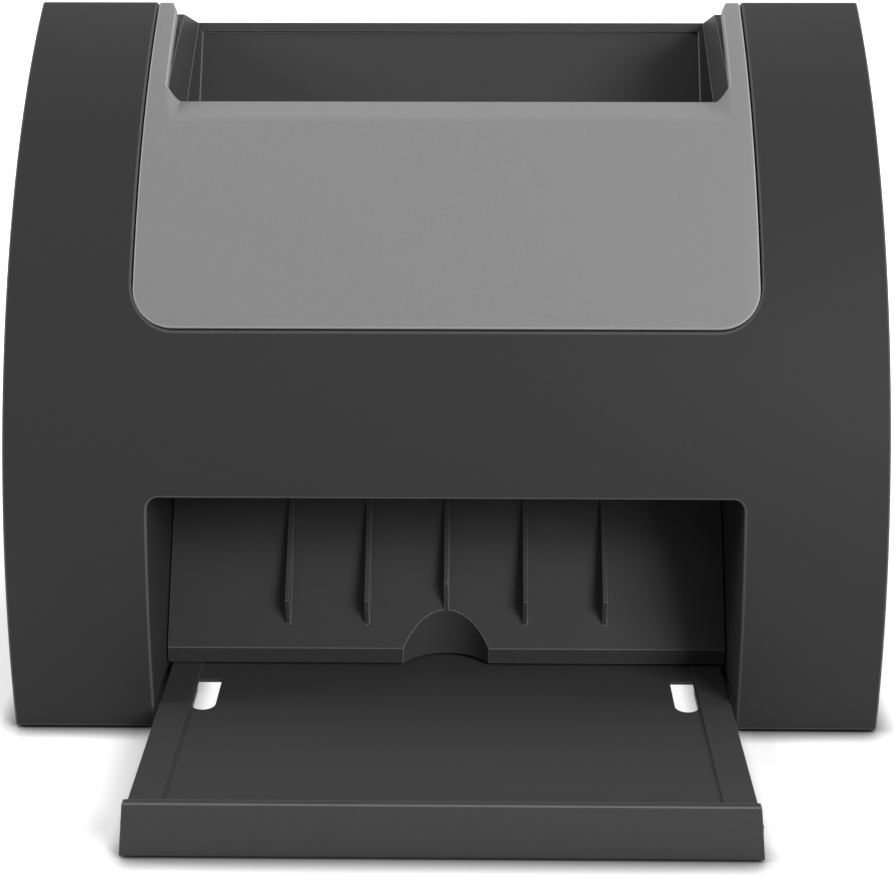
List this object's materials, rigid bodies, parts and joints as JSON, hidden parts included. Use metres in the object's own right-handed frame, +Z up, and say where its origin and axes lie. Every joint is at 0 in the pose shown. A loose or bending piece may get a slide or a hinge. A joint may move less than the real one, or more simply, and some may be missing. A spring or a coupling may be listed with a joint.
{
  "type": "card scanner",
  "caption": "Desktop card scanner with a sloped top hopper, a hinged front cover, a ribbed exit chute and a pull-out output tray.",
  "frame": {"origin": "centre of the footprint on the surface that the feet stand on, with the tray pulled out", "axes": "+X to the scanner's own left as seen from behind, along its width; +Y to the rear; +Z up; the front faces -Y"},
  "size_m": [0.168, 0.1526, 0.1305],
  "materials": {
    "black_abs": "fine moulded texture, satin",
    "grey_abs": "fine moulded texture, satin",
    "dark_abs": "smooth moulded",
    "zinc_steel": "zinc plated",
    "bright_steel": "ground bright",
    "spring_steel": "rolled strip",
    "sintered_bronze": "sintered, oiled",
    "white_acetal": "moulded acetal",
    "tyre_rubber": "ground rubber",
    "foot_rubber": "matt rubber",
    "pad_rubber": "cork-filled rubber",
    "window_glass": "clear float glass",
    "board_laminate": "solder resist",
    "tinned_steel": "tinned",
    "socket_nylon": "moulded nylon"
  },
  "bodies": {
    "housing": {"outer_shell": "black_abs", "base_plate": "black_abs", "rear_cover": "black_abs", "hopper": "black_abs", "exit_chute": "black_abs", "exit_guide": "black_abs", "frame_left": "zinc_steel", "frame_right": "zinc_steel", "foot_front_left": "foot_rubber", "foot_front_right": "foot_rubber", "foot_rear_left": "foot_rubber", "foot_rear_right": "foot_rubber", "scan_unit_rear": "dark_abs", "scan_glass_rear": "window_glass", "drive_motor": "zinc_steel", "main_board": "board_laminate", "usb_socket": "tinned_steel", "power_socket": "socket_nylon", "hinge_pin_left": "bright_steel", "hinge_pin_right": "bright_steel", "pick_bush_left": "sintered_bronze", "pick_bush_right": "sintered_bronze", "feed_bush_left": "sintered_bronze", "feed_bush_right": "sintered_bronze", "exit_bush_left": "sintered_bronze", "exit_bush_right": "sintered_bronze", "drive_idler_pin": "bright_steel", "pick_idler_pin": "bright_steel", "reduction_pin": "bright_steel", "base_screw_front_left": "bright_steel", "base_screw_front_right": "bright_steel", "base_screw_rear_left": "bright_steel", "base_screw_rear_right": "bright_steel"},
    "tray": {"output_tray": "black_abs"},
    "cover": {"front_cover": "grey_abs", "cover_frame": "dark_abs", "scan_unit_front": "dark_abs", "scan_glass_front": "window_glass", "separation_pad": "pad_rubber", "pad_holder": "white_acetal", "pad_spring": "spring_steel"},
    "pick_roller": {"pick_shaft": "bright_steel", "pick_tyre": "tyre_rubber", "pick_gear": "white_acetal"},
    "feed_roller": {"feed_shaft": "bright_steel", "feed_tyre_left": "tyre_rubber", "feed_tyre_right": "tyre_rubber", "feed_gear": "white_acetal"},
    "exit_roller": {"exit_shaft": "bright_steel", "exit_tyre_left": "tyre_rubber", "exit_tyre_right": "tyre_rubber", "exit_gear": "white_acetal"},
    "feed_pinch": {"feed_pinch_roller": "white_acetal"},
    "exit_pinch": {"exit_pinch_roller": "white_acetal"},
    "rotor": {"motor_shaft": "bright_steel", "motor_pinion": "white_acetal"},
    "drive_idler": {"drive_idler": "white_acetal"},
    "pick_idler": {"pick_idler": "white_acetal"},
    "reduction": {"reduction_gear": "white_acetal"}
  },
  "joints": [
    {"name": "tray_slide", "type": "slide", "parent": "housing", "child": "tray", "axis": [0, 1, 0], "range_m": [0, 0.0442]},
    {"name": "cover_hinge", "type": "hinge", "parent": "housing", "child": "cover", "pos_m": [0, -0.01175, 0.0545], "axis": [1, 0, 0], "range_deg": [0, 25]},
    {"name": "feed_roller_spin", "type": "hinge", "parent": "housing", "child": "feed_roller", "pos_m": [0, 0.0413, 0.08084], "axis": [1, 0, 0], "continuous": true},
    {"name": "exit_roller_spin", "type": "hinge", "parent": "housing", "child": "exit_roller", "pos_m": [0, 0.01921, 0.04869], "axis": [1, 0, 0], "continuous": true},
    {"name": "pick_roller_spin", "type": "hinge", "parent": "housing", "child": "pick_roller", "pos_m": [0, 0.05208, 0.09405], "axis": [1, 0, 0], "continuous": true},
    {"name": "drive_idler_spin", "type": "hinge", "parent": "housing", "child": "drive_idler", "pos_m": [0, 0.03256, 0.06318], "axis": [1, 0, 0], "continuous": true},
    {"name": "pick_idler_spin", "type": "hinge", "parent": "housing", "child": "pick_idler", "pos_m": [0, 0.05488, 0.07901], "axis": [1, 0, 0], "continuous": true},
    {"name": "reduction_spin", "type": "hinge", "parent": "housing", "child": "reduction", "pos_m": [0, 0.04496, 0.04787], "axis": [1, 0, 0], "continuous": true},
    {"name": "motor_spin", "type": "hinge", "parent": "housing", "child": "rotor", "pos_m": [0, 0.05515, 0.02871], "axis": [1, 0, 0], "continuous": true},
    {"name": "exit_pinch_spin", "type": "hinge", "parent": "housing", "child": "exit_pinch", "pos_m": [0, 0.0099, 0.05509], "axis": [1, 0, 0], "continuous": true},
    {"name": "feed_pinch_spin", "type": "hinge", "parent": "cover", "child": "feed_pinch", "pos_m": [0, 0.03199, 0.08723], "axis": [1, 0, 0], "continuous": true}
  ],
  "couplings": [
    {"joint": "exit_roller_spin", "follows": "feed_roller_spin", "ratio": 1},
    {"joint": "pick_roller_spin", "follows": "feed_roller_spin", "ratio": 0.8},
    {"joint": "drive_idler_spin", "follows": "feed_roller_spin", "ratio": -0.48485},
    {"joint": "pick_idler_spin", "follows": "feed_roller_spin", "ratio": -0.88889},
    {"joint": "reduction_spin", "follows": "feed_roller_spin", "ratio": 1},
    {"joint": "motor_spin", "follows": "feed_roller_spin", "ratio": -2.8571},
    {"joint": "exit_pinch_spin", "follows": "feed_roller_spin", "ratio": -1.4444},
    {"joint": "feed_pinch_spin", "follows": "feed_roller_spin", "ratio": -1.4444}
  ]
}
